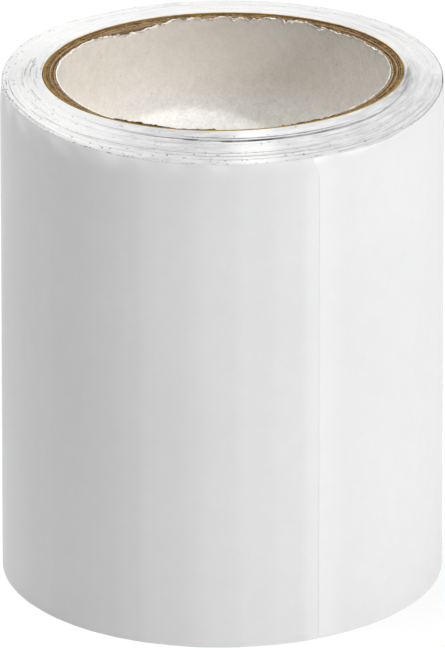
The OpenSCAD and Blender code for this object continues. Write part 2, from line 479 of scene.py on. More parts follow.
def skin_look():
    m = Look("core_skin")
    mottle = m.noise(m.coord, 300.0, 4.0, 0.6)
    fibre = m.noise(m.coord, 2200.0, 3.0, 0.6)
    col = m.mix(m.ramp(mottle, 0.3, 0.7), (0.310, 0.180, 0.008), (0.445, 0.272, 0.018))
    col = m.mix(m.ramp(fibre, 0.2, 0.4, 0.45, 0.0), col, (0.120, 0.066, 0.006))
    # glue has soaked in here and there. The side of the cut end towards the board is darkened with painted shade.
    soak = m.noise(m.coord, 150.0, 3.0, 0.6)
    col = m.mix(m.ramp(soak, 0.54, 0.70, 0.0, 0.65), col, (0.110, 0.058, 0.014))
    col = m.mix(m.math("MULTIPLY", m.attr("cut"), m.ramp(m.attr("rad"), 0.05, 0.30, 0.80, 0.0)), col, (0.090, 0.050, 0.010))
    # painted shade on the bore-side face of the ply, down from its cut end
    col = m.mix(m.math("MULTIPLY", m.attr("deep"), 0.9), col, (0.050, 0.028, 0.008))
    m.set(Base_Color=col, Roughness=m.ramp(fibre, 0.3, 0.7, 0.4, 0.65),
          Normal=m.bump(fibre, 0.3, 0.00005))
    return m.mat


def paper_look():
    m = Look("core_lining")
    torn = m.attr("torn")
    cloud = m.noise(m.coord, 34.0, 5.0, 0.6, 0.4)
    blot = m.noise(m.coord, 190.0, 4.0, 0.6)
    fibre = m.noise(m.coord, 1700.0, 4.0, 0.6)
    col = m.mix(m.ramp(cloud, 0.3, 0.7), (0.815, 0.736, 0.658), (0.865, 0.797, 0.727))
    col = m.mix(m.ramp(blot, 0.38, 0.66, 0.0, 0.55), col, (0.745, 0.680, 0.612))
    tint = m.noise(m.coord, 75.0, 3.0, 0.55, 0.6)
    col = m.mix(m.ramp(tint, 0.42, 0.64, 0.0, 0.50), col, (0.800, 0.770, 0.700))
    blush = m.noise(m.lifted(m.coord, 0.5), 110.0, 3.0, 0.55, 0.5)
    col = m.mix(m.ramp(blush, 0.48, 0.66, 0.0, 0.55), col, (0.835, 0.748, 0.672))
    # painted light: less yellow lower down and on the shaded side, for the colour of the light there
    col = m.mix(m.attr("light_tint"), col, (0.872, 0.886, 0.868))
    spot = m.noise(m.coord, 430.0, 3.0, 0.6)
    col = m.mix(m.ramp(spot, 0.42, 0.68, 0.0, 0.28), col, (0.600, 0.590, 0.560))
    col = m.mix(m.ramp(fibre, 0.34, 0.70, 0.0, 0.40), col, (0.620, 0.580, 0.525))
    col = m.mix(m.math("MULTIPLY", m.dots(m.coord, 210.0, 0.035, 0.060), 0.45), col, (0.430, 0.385, 0.330))
    # painted shade: greyer towards the open end, below the torn edge at the back
    col = m.mix(m.math("MULTIPLY", m.attr("upper_shade"), m.ramp(cloud, 0.3, 0.7, 0.50, 0.38)), col, (0.450, 0.422, 0.385))
    col = m.mix(m.math("MULTIPLY", m.ramp(fibre, 0.30, 0.6, 0.7, 1.0), torn), col, (0.970, 0.958, 0.935))
    # painted shade under the curl of the edge and along the tears, and soil where the torn edge is bare
    col = m.mix(m.math("MULTIPLY", m.attr("soil_and_shade"), m.ramp(fibre, 0.30, 0.65, 0.55, 1.0)), col, (0.230, 0.185, 0.135))
    m.set(Base_Color=col, Roughness=m.ramp(fibre, 0.3, 0.7, 0.65, 0.85),
          Normal=m.bump(fibre, 0.35, 0.00005))
    m.bsdf.inputs["Specular IOR Level"].default_value = 0.3
    return m.mat


FILM, ADH, LINER = film_look(), adhesive_look(), liner_look()
KRAFT, SKIN, PAPER = kraft_look(), skin_look(), paper_look()


def finish_piece(ob, mat):
    ob.data.materials.clear()
    ob.data.materials.append(mat)
    return ob


# --- the wound tape ----------------------------------------------------------------
# where handling has left dirt on the edges, and painted shade that makes the end of the roll greyer at the front and
# right than at the left and back
grime_at = round_curve([(0, 0.25), (-30, 0.35), (-60, 0.75), (-90, 0.9), (-115, 0.85), (-140, 0.8),
                        (-165, 0.9), (180, 0.9), (160, 0.6), (130, 0.3), (90, 0.3), (45, 0.4)], 8.0)
painted_shade_curve = round_curve([(0, 1.05), (-18, 1.25), (-32, 1.4), (-60, 1.12), (-74, 1.08), (-84, 1.05), (-97, 1.65), (-108, 1.45), (-120, 0.80), (-135, 0.14),
                        (-155, 0.05), (-170, 0.30), (180, 0.75), (172, 0.45), (165, 0.28), (140, 0.22), (118, 0.58), (90, 0.48), (60, 0.40), (40, 0.58),
                        (20, 0.50)], 7.0)
# a painted highlight at the front: less painted shade where the end of the roll catches a glare
glare_at = round_curve([(180, 0.0), (-89, 0.0), (-85, 0.8), (-83, 1.0), (-78, 1.0), (-76, 0.7), (-72, 0.0), (90, 0.0)], 1.2)


def painted_shade_at(th):
    return painted_shade_curve(th) * (1 - 0.65 * glare_at(th))


rim_at = round_curve([(-178, 0.2), (-160, 0.6), (-140, 0.65), (-110, 0.7), (-98, 0.6), (-85, 0.4), (-64, 0.25),
                      (-40, 0.25), (-20, 0.12), (0, 0.05), (60, 0.05), (120, 0.05), (160, 0.12)], 5.0)
# the upper edge of the outer turns leans in a little, over this height
rim_lean = round_curve([(-180, 0.20), (-165, 0.34), (-150, 0.46), (-125, 0.42), (-108, 0.28), (-90, 0.15), (-75, 0.14),
                        (-62, 0.22), (-45, 0.18), (-25, 0.08), (0, 0.05), (60, 0.06), (120, 0.10), (160, 0.15)], 6.0)
lean_height = round_curve([(-150, 6.0), (-110, 5.0), (-90, 4.0), (-60, 3.6), (0, 3.5), (120, 4.0)], 8.0)

# painted highlight: how much the film face under the rim is painted whiter, where it catches the light
rim_highlight_at = round_curve([(-180, 0.25), (-165, 0.60), (-150, 0.80), (-128, 0.75), (-112, 0.60), (-100, 0.40), (-85, 0.25),
                        (-66, 0.25), (-50, 0.10), (0, 0.05), (90, 0.10), (160, 0.15)], 6.0)


def loose(n):
    """The last turn stands off a little at the front left."""
    return 0.13 * smooth((n - 31.33) / 0.06) * smooth((31.60 - n) / 0.07)


def wound(name, n, off, t, drop, edge_bevel):
    th = np.radians(ROOT - 360.0 * n)
    r = R_START + PITCH * n + off + loose(n)
    top = tape_top(n, th) - drop
    foot = tape_foot(n, th, top) + drop
    c = edge_bevel
    if c:
        rho = np.array([0, c, t - c, t, t, t - c, c, 0])
        zf = np.array([c, 0, 0, c, 0, 0, 0, 0.0])
        zt = np.array([0, 0, 0, 0, -c, 0, 0, -c])
        up = np.array([0, 0, 0, 0, 1, 1, 1, 1.0])
        edge = np.array([0.6, 1, 1, 0.6, 0.6, 1, 1, 0.6])
    else:
        rho = np.array([0, t, t, 0])
        zf = np.zeros(4)
        zt = np.zeros(4)
        up = np.array([0, 0, 1, 1.0])
        edge = np.ones(4)
    # the cut edge of each turn follows the slope of the end
    slope = fall_at(th)[:, None] * (off + rho)
    z = np.where(up > 0, top[:, None] + zt - slope, np.maximum(foot[:, None] + zf - slope, zf + drop))
    lean = rim_lean(th) * smooth((n - 8) / 24.0)
    P = polar(r[:, None] + rho - np.where(up > 0, lean[:, None], 0.0), th[:, None], z)
    P[..., 0] += ASIDE * MM * (1 - np.clip(n / TURNS, 0.0, 1.0))[:, None]
    K = len(rho)
    g = grime_at(th) * (0.45 + 0.55 * smooth((n - 18) / 10))
    # dark paint in the gap and along the low turns: dirt and painted shade
    dirt_and_gap_shade = np.maximum(gap_marks(n, th), line_marks(n, th))
    dash = rim_at(th) * smooth((n - 30.6) / 0.3)
    # painted shade next to the core at the right, at the foot of the inner turns that stand proud there
    shade_smear = 1 + 0.9 * np.exp(-((np.degrees(th) + 6.0 + 180.0) % 360.0 - 180.0) ** 2 / 200.0) * smooth((12.0 - n) / 8.0)
    along = {"grime": g, "painted_shade": painted_shade_at(th) * shade_smear, "turn": n, "dirt_and_gap_shade": dirt_and_gap_shade, "dash": dash, "painted_highlight": np.zeros_like(n)}
    floats = {key: np.broadcast_to(v[:, None], (len(n), K)) for key, v in along.items()}
    floats["edge"] = np.broadcast_to(edge, (len(n), K))
    if c:
        # the face that looks into the gap from the turn inside it gets the same dirt and painted shade
        wall = np.array(floats["dirt_and_gap_shade"])
        wall[:, 3:5] = np.maximum(wall[:, 3:5], gap_marks(n + 1, th)[:, None])
        floats["dirt_and_gap_shade"] = wall
    return swept(name, P, False, floats)


STEP = 1.2
n_end = TURNS - 7.5 / 360.0
n_film = np.arange(0, int(31 * 360 / STEP) + 1) * STEP / 360.0
n_under = np.append(np.arange(0, int(n_end * 360 / STEP) + 1) * STEP / 360.0, n_end)
film = finish_piece(wound("wound_film", n_film, OFF_FILM, FILM_T, 0.0, 0.03), FILM)
glue = finish_piece(wound("wound_adhesive", n_under, OFF_ADH, ADH_T, 0.014, 0.0), ADH)
paper = finish_piece(wound("wound_release_liner", n_under, 0.0, LINER_T, 0.008, 0.0), LINER)
for ob, node in ((film, "reflective_film"), (glue, "adhesive_layer"), (paper, "release_liner")):
    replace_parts(ob, node)
    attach(ob, "roll")


# --- outer wrap and tail ----------------------------------------------------------------
def ripple(th, z):
    """Slight waviness of the outermost tape, outwards only."""
    s = (np.sin(23 * th + 0.7 + 0.012 * z) + 0.8 * np.sin(31 * th + 2.1 - 0.009 * z)
         + 0.9 * np.sin(9 * th + 0.3 + 0.02 * z) + 0.5 * np.sin(14 * th + 1.9) * np.sin(0.055 * z + 0.6))
    return 0.009 * (3.2 + s)


# slight flats that the last turn lies in, left of the free end: from, to (degrees from the front
# towards the right), how flat, and how far its face turns to the right
FLATS = ((-31.5, -28.5, 0.8, 0.0), (-26.0, -22.8, 0.8, 0.0), (-19.4, -10.6, 0.6, 0.0), (-2.6, 2.3, 0.9, 0.0),
         (5.7, 12.2, 0.95, 0.0), (15.0, 21.0, 0.95, -0.8), (22.6, 25.9, 0.9, 2.6))


def flats_curve():
    a = np.arange(-60.0, 60.0, 0.05)
    knots = [(-60.0, 0.0), (FLATS[0][0] - 3.0, 0.0)]
    for lo, hi, share, turned in FLATS:
        half = (hi - lo) / 2
        knots += [(lo, share * half + turned), (hi, -share * half + turned)]
    knots += [(FLATS[-1][1] + 0.4, 0.0), (60.0, 0.0)]
    d = np.interp(a, [k[0] for k in knots], [k[1] for k in knots])
    g = np.exp(-(np.arange(-24, 25) / 8.0) ** 2 / 2)
    d = np.convolve(d, g / g.sum(), mode="same")
    r = -50.6 * np.radians(1.0) * np.cumsum(np.radians(d)) * 0.05
    r = r - r[-1]
    r = r - np.minimum(r[a > -36].min(), 0.0) * smooth((25.0 - a) / 8.0)
    r = r * smooth((a + 58.0) / 20.0)
    return a, r


flat_a, flat_r = flats_curve()


def flats(th):
    front_angle = (np.degrees(th) + 90.0 + 180.0) % 360.0 - 180.0
    return np.interp(front_angle, flat_a, flat_r, left=0.0, right=0.0)


LEVELS = np.concatenate([[0.0], np.geomspace(0.25, 3.0, 4), np.linspace(8, W - 9, 18),
                         W - np.array([6.6, 5.2, 4.1, 3.2, 2.4, 1.7, 1.1, 0.6, 0.25]), [W]])


def sheet_outline(t, c):
    """Offsets of a tall section: up the inner face and down the outer one. Gives rho, share of height and bevel."""
    z = LEVELS / W
    m = len(z)
    rho = np.concatenate([[c], np.zeros(m), [c], [t - c], np.full(m, t), [t - c]])
    lev = np.concatenate([[0.0], z, [1.0], [1.0], z[::-1], [0.0]])
    bev = np.concatenate([[0.0], [c], np.zeros(m - 2), [-c], [0.0], [0.0], [-c], np.zeros(m - 2), [c], [0.0]])
    edge = np.concatenate([[1.0], [0.6], np.zeros(m - 2), [0.6], [1.0], [1.0], [0.6], np.zeros(m - 2), [0.6], [1.0]])
    return rho, lev, bev, edge


def fog(th, z):
    """Cloudy factor about 1 over the face of the tape."""
    rng = np.random.default_rng(63)
    total = np.zeros(np.broadcast(th, z).shape)
    for i in range(14):
        total = total + np.cos(rng.integers(6, 40) * th + rng.uniform(-1.3, 1.3) * z + rng.uniform(0, 6.3))
    return np.clip(1 + 0.20 * total, 0.25, 1.8)


def tall_sheet(name, th, rin, t, z0, z1, wave, lean, turn, tip=None, thin=None, face_shade=0.0, tip_highlight=None, under_rim_highlight=None):
    """One layer of tape with a divided face. th, rin, z0, z1, wave, lean, turn run along it; tip shifts angles by height."""
    rho, lev, bev, edge = sheet_outline(t, min(0.03, t * 0.25))
    z = z0[:, None] + lev * (z1 - z0)[:, None] + bev
    a = np.broadcast_to(th[:, None], z.shape)
    if tip is not None:
        a = a + tip(th, z)
    if thin is not None:
        rho = rho * thin[:, None]
    high = lean_height(th)[:, None]
    r = rin[:, None] + rho + wave[:, None] * ripple(a, z) - lean[:, None] * np.clip(1 - (W - z) / high, 0.0, 1.0) ** 2
    S, K = z.shape
    g = grime_at(th) * 0.8
    dash = np.where(lev > 0.5, edge, 0.0) * rim_at(th)[:, None]
    # painted highlight: whiter near the free end, and under the rim in cloudy patches
    painted_highlight = np.zeros((S, K)) if tip_highlight is None else np.broadcast_to(tip_highlight[:, None], (S, K))
    if under_rim_highlight is not None:
        amount, reach = under_rim_highlight
        patch = fog(th[:, None], z)
        painted_highlight = np.maximum(painted_highlight, np.minimum(1.0, patch * amount[:, None] * np.clip(1 - (W - z) / reach[:, None], 0.0, 1.0) ** 1.5))
    # painted shade on the cut edges, and over the whole face where a face shade is given
    floats = {"edge": np.broadcast_to(edge, (S, K)), "painted_highlight": painted_highlight, "grime": np.broadcast_to(g[:, None], (S, K)),
              "painted_shade": np.broadcast_to(np.maximum(edge * painted_shade_at(th)[:, None], face_shade), (S, K)),
              "turn": np.broadcast_to(turn[:, None], (S, K)), "dash": dash, "dirt_and_gap_shade": np.zeros((S, K))}
    return swept(name, polar(r, a, z), False, floats)


# the last whole turn of film
n = np.append(np.arange(31.0, n_end, 0.5 / 360.0), n_end)
th = np.radians(ROOT - 360.0 * n)
z1 = tape_top(n, th) - fall_at(th) * OFF_FILM
# painted shade makes the face of the last whole turn greyer than the tail's; painted highlight next to the free end and
# under the rim
wrap = tall_sheet("outer_wrap_film", th, R_START + PITCH * n + OFF_FILM + loose(n) + flats(th), FILM_T,
                  np.maximum(z1 - rise_at(th) - W, 0.0), z1, smooth((n - 31.28) / 0.06) * smooth((n_end - n) / 0.03), rim_lean(th), n,
                  face_shade=0.10, tip_highlight=0.14 * smooth((31.263 - n) / 0.012), under_rim_highlight=(rim_highlight_at(th), lean_height(th)))
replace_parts(finish_piece(wrap, FILM), "reflective_film")
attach(wrap, "roll")


def tail_inner(deg):
    """Inner face of the tail: it leaves the roll at its root and lies a hair clear of the turn below."""
    spiral = R_START + PITCH * (TURNS + (ROOT - deg) / 360.0)
    return spiral + 0.10 * smooth((ROOT - deg) / 12.0) - 0.085 * smooth((TIP + 26.0 - deg) / 18.0)


def tip_drop(deg):
    """Where the liner is trimmed back, the free end lies down on the turn below."""
    return 0.078 * smooth((TIP + 13.0 - deg) / 11.0)


def tip_shift(th, z):
    """The cut runs a little further on at the upper corner."""
    share = smooth((np.degrees(th) - (TIP + 7.5)) / -7.5)
    return -np.radians(1.75) * share[:, None] * smooth((z - (W - 5.5)) / 5.5)


mids = [ROOT + 7.5] + [ROOT - LINK * j - 7.5 for j in range(6)] + [TIP]
tab = 6.0 / 50.6 * 180 / math.pi
for j in range(7):
    first, last = mids[j], mids[j + 1]
    for layer, off, t, mat, slot in (("film", OFF_FILM, FILM_T, FILM, "white_film"),
                                     ("adhesive", OFF_ADH, ADH_T, ADH, "adhesive"),
                                     ("liner", 0.0, LINER_T, LINER, "release_liner")):
        end = last
        if layer == "liner" and j == 6:
            end = TIP + tab
        count = int(round((first - end) / 0.5)) + 1
        deg = np.linspace(first, end, max(count, 3))
        th = np.radians(deg)
        n = TURNS + (ROOT - deg) / 360.0
        rin = tail_inner(deg) + off
        if layer != "liner":
            rin = rin - tip_drop(deg)
        z0 = 0.2 * smooth((ROOT + 7.5 - deg) / 7.5)
        z1 = tape_top(np.minimum(n, TURNS), th) - fall_at(th) * OFF_FILM
        trim = {"film": 0.0, "adhesive": 0.022, "liner": 0.012}[layer]
        # the cut squeezes the layers together
        press = smooth((TIP + 16.0 - deg) / 16.0)
        thin = {"film": 1 - 0.86 * press, "adhesive": 1 - 0.85 * press, "liner": 1 - tip_drop(deg) / 0.084}[layer]
        rin = rin - {"film": 0.058, "adhesive": 0.012, "liner": 0.0}[layer] * press
        wave = smooth((ROOT + 4.0 - deg) / 8.0) * smooth((deg - TIP) / 5.0 + 0.15)
        # painted highlight on the face near the free end and under its rim
        ob = tall_sheet(f"tail_{layer}_sheet_{j + 1}", th, rin, t, z0 + trim, z1 - trim, wave,
                        rim_lean(th), n, tip_shift if (j == 6 and layer != "liner") else None, thin,
                        tip_highlight=0.30 * smooth((TIP + 9.0 - deg) / 9.0),
                        under_rim_highlight=(0.9 * smooth((TIP + 34.0 - deg) / 20.0), 1.0 + 2.2 * smooth((TIP + 22.0 - deg) / 22.0)))
        finish_piece(ob, mat)
        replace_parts(ob, f"tail_{layer}_{min(j + 1, 6)}")
        if j == 6:
            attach(ob, "tail_6")
        else:
            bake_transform(ob)


# --- the core -----------------------------------------------------------------------------
def ply_ring(name, r0, r1, top_in, top_out, seed, count, rough, bevel, mat, node, tone=0.0, line=0.0, under=0.14, dark=None):
    """A ply of the core: a tube with a rough cut end, lower at its bore side or not."""
    th = np.linspace(0, 2 * np.pi, count, endpoint=False)
    share = np.array([0.0, 0.0, 0.0, 0.0, bevel, 0.3, 0.5, 0.7, 1 - bevel, 1.0, 1.0])
    sink = [None, None, None, bevel * (r1 - r0) * 0.9, 0.0, 0.0, 0.0, 0.0, 0.0, bevel * (r1 - r0) * 0.9, None]
    r = r0 + share * (r1 - r0)
    cols = []
    for k in range(len(share)):
        if sink[k] is None:
            z = np.full(count, CORE_FOOT)
        else:
            base = top_in(th) * (1 - share[k]) + top_out(th) * share[k]
            z = base - float(sink[k]) + rough * (ring_noise(th, seed, 5, 60) * 0.6
                                                 + ring_noise(th, seed * 10 + k, 60, 420) * 0.7)
        cols.append(z)
    # two rows on the bore side, just under the edge
    cols[1], cols[2] = cols[3] - 0.45, cols[3] - under
    z = np.stack(cols, 1)
    P = polar(np.broadcast_to(r, z.shape), th[:, None], z)
    P[..., 0] += ASIDE * MM
    cut = np.array([0, 0, 0, 0.4, 1, 1, 1, 1, 1, 0.4, 0.0])
    # painted shade: how far the bore-side face of each ply is darkened, down from its cut end
    deep = np.array([1, 1, 0.7, 0.05, 0, 0, 0, 0, 0, 0, 0.0])
    ob = swept(name, P, True, {"rad": np.broadcast_to(share, z.shape), "cut": np.broadcast_to(cut, z.shape),
                               "deep": np.broadcast_to(deep, z.shape), "tone": np.full(z.shape, tone),
                               "glue": np.full(z.shape, line) + (dark(th)[:, None] if dark else 0.0)}, 55.0)
    finish_piece(ob, mat)
    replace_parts(ob, node)
    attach(ob, "roll")
    return ob


def front(th):
    return np.maximum(0.0, -np.sin(th))


# the end of the board has been pushed down at the front, most of all on its bore side
drop_in = round_curve([(180, 0.15), (-168, 0.20), (-160, 0.35), (-152, 0.60), (-145, 0.90), (-137, 1.22), (-125, 1.35), (-90, 1.35), (-58, 1.20), (-45, 0.98),
                       (-35, 0.75), (-24, 0.42), (-10, 0.25), (20, 0.22), (90, 0.22)], 2.5)
drop_out = round_curve([(180, 0.08), (-152, 0.10), (-140, 0.33), (-128, 0.38), (-110, 0.30), (-90, 0.42), (-50, 0.42), (-35, 0.30), (-20, 0.16),
                        (0, 0.12), (45, 0.18), (90, 0.20), (135, 0.16)], 2.5)


def board_top(x):
    """Height of the cut kraft board at share x of its thickness, from the bore side."""
    return lambda th: core_plane(th) - (drop_in(th) * (1 - x) + drop_out(th) * x)


# a ragged strip of the outermost ply stands up behind the skin at the front left
ledge = round_curve([(180, 0.0), (-130, 0.0), (-126, 0.85), (-122, 1.0), (-114, 1.0), (-108, 0.50), (-102, 0.40),
                     (-98, 0.80), (-92, 0.80), (-88, 0.0), (-76, 0.0), (-71, 0.60), (-64, 0.85), (-50, 0.85), (-44, 0.0),
                     (90, 0.0)], 1.2)


def frayed(th):
    """Tufts of the outermost ply that stand up behind the skin at the front."""
    tufts = 0.42 * smooth(1.6 * front(th)) * smooth((ring_noise(th, 52, 16, 64) - 0.35) / 0.5)
    return np.maximum(0.8 * tufts, ledge(th) * (0.60 + 0.10 * ring_noise(th, 58, 40, 260, 0.3)))


for i in range(5):
    r0 = BORE_R + LINING_T + GLUE + i * (PLY_T + GLUE)
    r1 = r0 + PLY_T + (0.03 if i == 4 else 0.0)
    sag = (0.05, 0.18, 0.0, 0.06, 0.0)[i]
    tuft = 1.0 if i == 4 else 0.0
    inner, outer = board_top(i / 5.0), board_top((i + 1) / 5.0)
    ply_ring(f"core_board_ply_{i + 1}", r0, r1,
             lambda th, f=inner, s=sag, u=tuft: f(th) - s + u * frayed(th),
             lambda th, f=outer, s=sag, u=tuft: f(th) - s + u * frayed(th),
             11 + i, 1080, 0.05, (0.22, 0.28, 0.18, 0.14, 0.12)[i], KRAFT, f"core_kraft_ply_{i + 1}",
             (0.9, 0.05, 0.40, 0.05, 0.15)[i], (1.0, 1.50, 0.40, 1.40, 0.95)[i], dark=(lambda th: 0.75 * ledge(th)) if i == 4 else None)


def skin_top(th):
    return core_plane(th) + 0.20 * smooth(1.6 * np.sin(th)) - 0.05 * front(th)


ply_ring("core_skin_ply", SKIN_IN, SKIN_OUT, skin_top, lambda th: skin_top(th) + 0.02,
         31, 1080, 0.02, 0.18, SKIN, "core_outer_ply", under=0.38)


def lining():
    """White paper in the bore. Its upper edge is torn and leans into the bore, most of all at the back."""
    count = 1600
    th = np.linspace(0, 2 * np.pi, count, endpoint=False)
    back = round_curve([(180, 0.25), (150, 0.5), (130, 0.85), (90, 1.0), (62, 0.9), (45, 0.6), (15, 0.55), (0, 0.55),
                        (-20, 0.45), (-45, 0.25), (-90, 0.2), (-150, 0.2)], 6.0)(th)
    # how far the torn edge stands above the cut end of the core, or below it
    stand = round_curve([(180, 0.12), (166, 0.10), (154, 0.05), (146, 0.30), (140, 0.05), (135, -0.25), (130, -0.75), (124, -1.25),
                         (119, -0.80), (115, -0.50), (112, -0.10), (109, 0.55), (104, 0.45), (100, 0.60), (96, 0.10), (92, 0.35),
                         (88, 0.50), (84, 0.20), (79.6, 0.05), (75, 0.55), (70, 0.65), (66, 0.60), (62, 0.65), (57, 0.25),
                         (52, -0.10), (46, -0.25), (40, 0.05), (34, -0.12), (26, -0.25), (18, 0.15), (0, 0.16),
                         (-15, -0.24), (-30, -0.52), (-50, -0.92), (-66, -1.15), (-90, -1.34), (-114, -1.36), (-126, -1.36), (-137, -1.22), (-145, -0.92), (-152, -0.64),
                         (-160, -0.38), (-168, -0.20)], 1.6)(th)
    ragged = (0.14 * ring_noise(th, 3, 24, 90) + 0.055 * ring_noise(th, 4, 90, 240) + 0.035 * ring_noise(th, 6, 240, 560)
              - 0.10 * np.abs(ring_noise(th, 5, 30, 150)))
    # tears run down from the edge: direction, depth, half width in degrees
    deg = np.degrees(th)
    notch, tear_shade = np.zeros(count), np.zeros(count)
    for at, deep, half in ((103.2, 0.55, 0.7), (97.6, 0.25, 0.6), (93.8, 0.35, 0.6), (86.4, 0.30, 0.6), (80.6, 0.85, 0.9),
                           (76.0, 0.30, 0.6), (71.0, 0.50, 0.6), (67.7, 0.70, 0.6), (61.0, 0.35, 0.7), (54.0, 0.40, 0.7),
                           (46.0, 0.30, 0.6), (36.0, 0.30, 0.6), (24.0, 0.28, 0.6), (112.5, 0.40, 0.6), (128.0, 0.30, 0.7),
                           (139.0, 0.30, 0.7), (152.0, 0.25, 0.6), (163.0, 0.20, 0.6)):
        d = (deg - at + 180.0) % 360.0 - 180.0
        d = np.where(d > 0, d / (1.6 * half), -d / (0.6 * half))
        notch = np.maximum(notch, 0.75 * deep * np.clip(1 - d, 0.0, 1.0))
        # painted shade down each tear
        tear_shade = np.maximum(tear_shade, min(1.0, 1.4 * deep) * np.clip(1 - 1.5 * d, 0.0, 1.0))
    top = core_plane(th) + stand + back * np.clip(ragged, -0.45, 0.25) - notch
    curl = 0.15 + 0.16 * ring_noise(th, 8, 16, 90) + 0.05 * ring_noise(th, 9, 120, 420)
    flare = np.clip(0.05 + back * curl, 0.03, 0.60)
    seen = round_curve([(180, 0.9), (150, 1.0), (90, 1.0), (45, 1.0), (15, 0.9), (0, 0.55), (-20, 0.2), (-60, 0.1), (-95, 0.1),
                        (-115, 0.5), (-130, 1.0), (-150, 0.9)], 5.0)(th)
    white = 0.9 * seen * smooth((ring_noise(th, 15, 40, 220) - 0.05) / 0.8)
    clean = round_curve([(140, 0.0), (150, 0.5), (162, 0.85), (180, 0.9), (-160, 0.95), (-128, 0.95), (-118, 0.3), (-110, 0.0), (0, 0.0)], 3.0)(th)
    white = np.maximum(white, clean)
    bare = seen * back * (1 - white) * smooth((ring_noise(th, 17, 40, 200) + 0.3) / 0.8)
    grub = round_curve([(60, 0.0), (40, 0.3), (15, 0.6), (-60, 0.6), (-75, 0.2), (-90, 0.0), (180, 0.0)], 5.0)(th)
    bare = np.maximum(bare, grub * (1 - white) * smooth((ring_noise(th, 18, 30, 200) + 0.4) / 0.9))
    # painted shadow in patches under the curl
    dark = back * (0.45 + 0.55 * smooth((ring_noise(th, 16, 22, 130) - 0.0) / 0.7))
    # painted shade below the torn edge at the back, towards the open end
    upper_shade = round_curve([(180, 0.1), (150, 0.2), (135, 0.45), (120, 0.85), (105, 1.05), (70, 1.0), (58, 0.6), (45, 0.25),
                         (20, 0.0), (-90, 0.0)], 6.0)(th)
    # the torn edge is a soft white burr that hangs over a little
    below = np.array([0.0, 0.06, 0.14, 0.24, 0.34, 0.46, 0.62, 1.0])
    lean = np.array([0.45, 0.80, 1.0, 1.0, 0.78, 0.42, 0.14, 0.0])
    thick = np.array([0.10, 0.17, 0.22, 0.26, 0.26, 0.26, 0.26, 0.26])
    near = np.array([0.35, 0.8, 1.5, 2.6, 4.2, 6.5])
    rows = np.linspace(1.0, 0.0, 16)[1:]
    rs, zs, tn, soil_shade_rows = [], [], [], []
    for k in range(len(below)):
        rs.append(BORE_R - flare * lean[k])
        zs.append(top - below[k])
        tn.append(white if below[k] < 0.2 else np.zeros(count))
        # painted shade down the tears and under the curl, soil where the edge is bare
        soil_shade_rows.append(np.maximum(np.maximum(tear_shade * (0.8, 0.8, 0.7, 0.6, 0.5, 0.3, 0.1, 0)[k],
                                        dark * (0, 0, 0, 0.7, 0.9, 0.6, 0.2, 0)[k]),
                             bare * (0.9, 0.8, 0.6, 0.4, 0.2, 0, 0, 0)[k]))
    dent = 0.02 * ring_noise(th, 21, 2, 12)
    z_low = top - below[-1]
    for d in near:
        rs.append(np.full(count, BORE_R))
        zs.append(z_low - d)
        tn.append(np.zeros(count))
        soil_shade_rows.append(np.zeros(count))
    z_low = z_low - near[-1]
    for s in rows:
        rs.append(BORE_R + dent * math.sin(math.pi * s) * math.sin(7 * s + 0.5))
        zs.append(CORE_FOOT + s * (z_low - CORE_FOOT))
        tn.append(np.zeros(count))
        soil_shade_rows.append(np.zeros(count))
    rs.append(np.full(count, BORE_R + LINING_T))
    zs.append(np.full(count, CORE_FOOT))
    tn.append(np.zeros(count))
    soil_shade_rows.append(np.zeros(count))
    for k in range(len(below) - 1, -1, -1):
        rs.append(BORE_R - flare * lean[k] + thick[k] + (LINING_T - thick[k]) * clean)
        zs.append(top - below[k] - (0.02 if k == 0 else 0.0))
        tn.append(white * max(0.0, 1 - below[k] / 0.6))
        soil_shade_rows.append(bare * max(0.0, 0.9 - 1.6 * below[k]))
    R, Z, T = np.stack(rs, 1), np.stack(zs, 1), np.stack(tn, 1)
    S = upper_shade[:, None] * smooth((Z - (W - 23.0)) / 12.0)
    # painted light colour of the paper, by depth and by side
    low = round_curve([(180, 0.1), (150, 0.35), (120, 0.9), (90, 1.0), (60, 1.0), (0, 0.9), (-90, 0.5)], 8.0)(th)
    shady = round_curve([(180, 0.0), (110, 0.0), (90, 0.05), (70, 0.2), (55, 0.40), (30, 0.45), (0, 0.45), (-40, 0.2), (-90, 0.1)], 8.0)(th)
    C = np.maximum(shady[:, None] * np.ones_like(Z), low[:, None] * smooth((W - 9.0 - Z) / 12.0))
    v, q = sweep_faces(polar(R, th[:, None], Z), True)
    verts, quads = [v], [q]
    looks = {"torn": [T.ravel()], "upper_shade": [S.ravel()], "soil_and_shade": [np.stack(soil_shade_rows, 1).ravel()], "light_tint": [C.ravel()]}
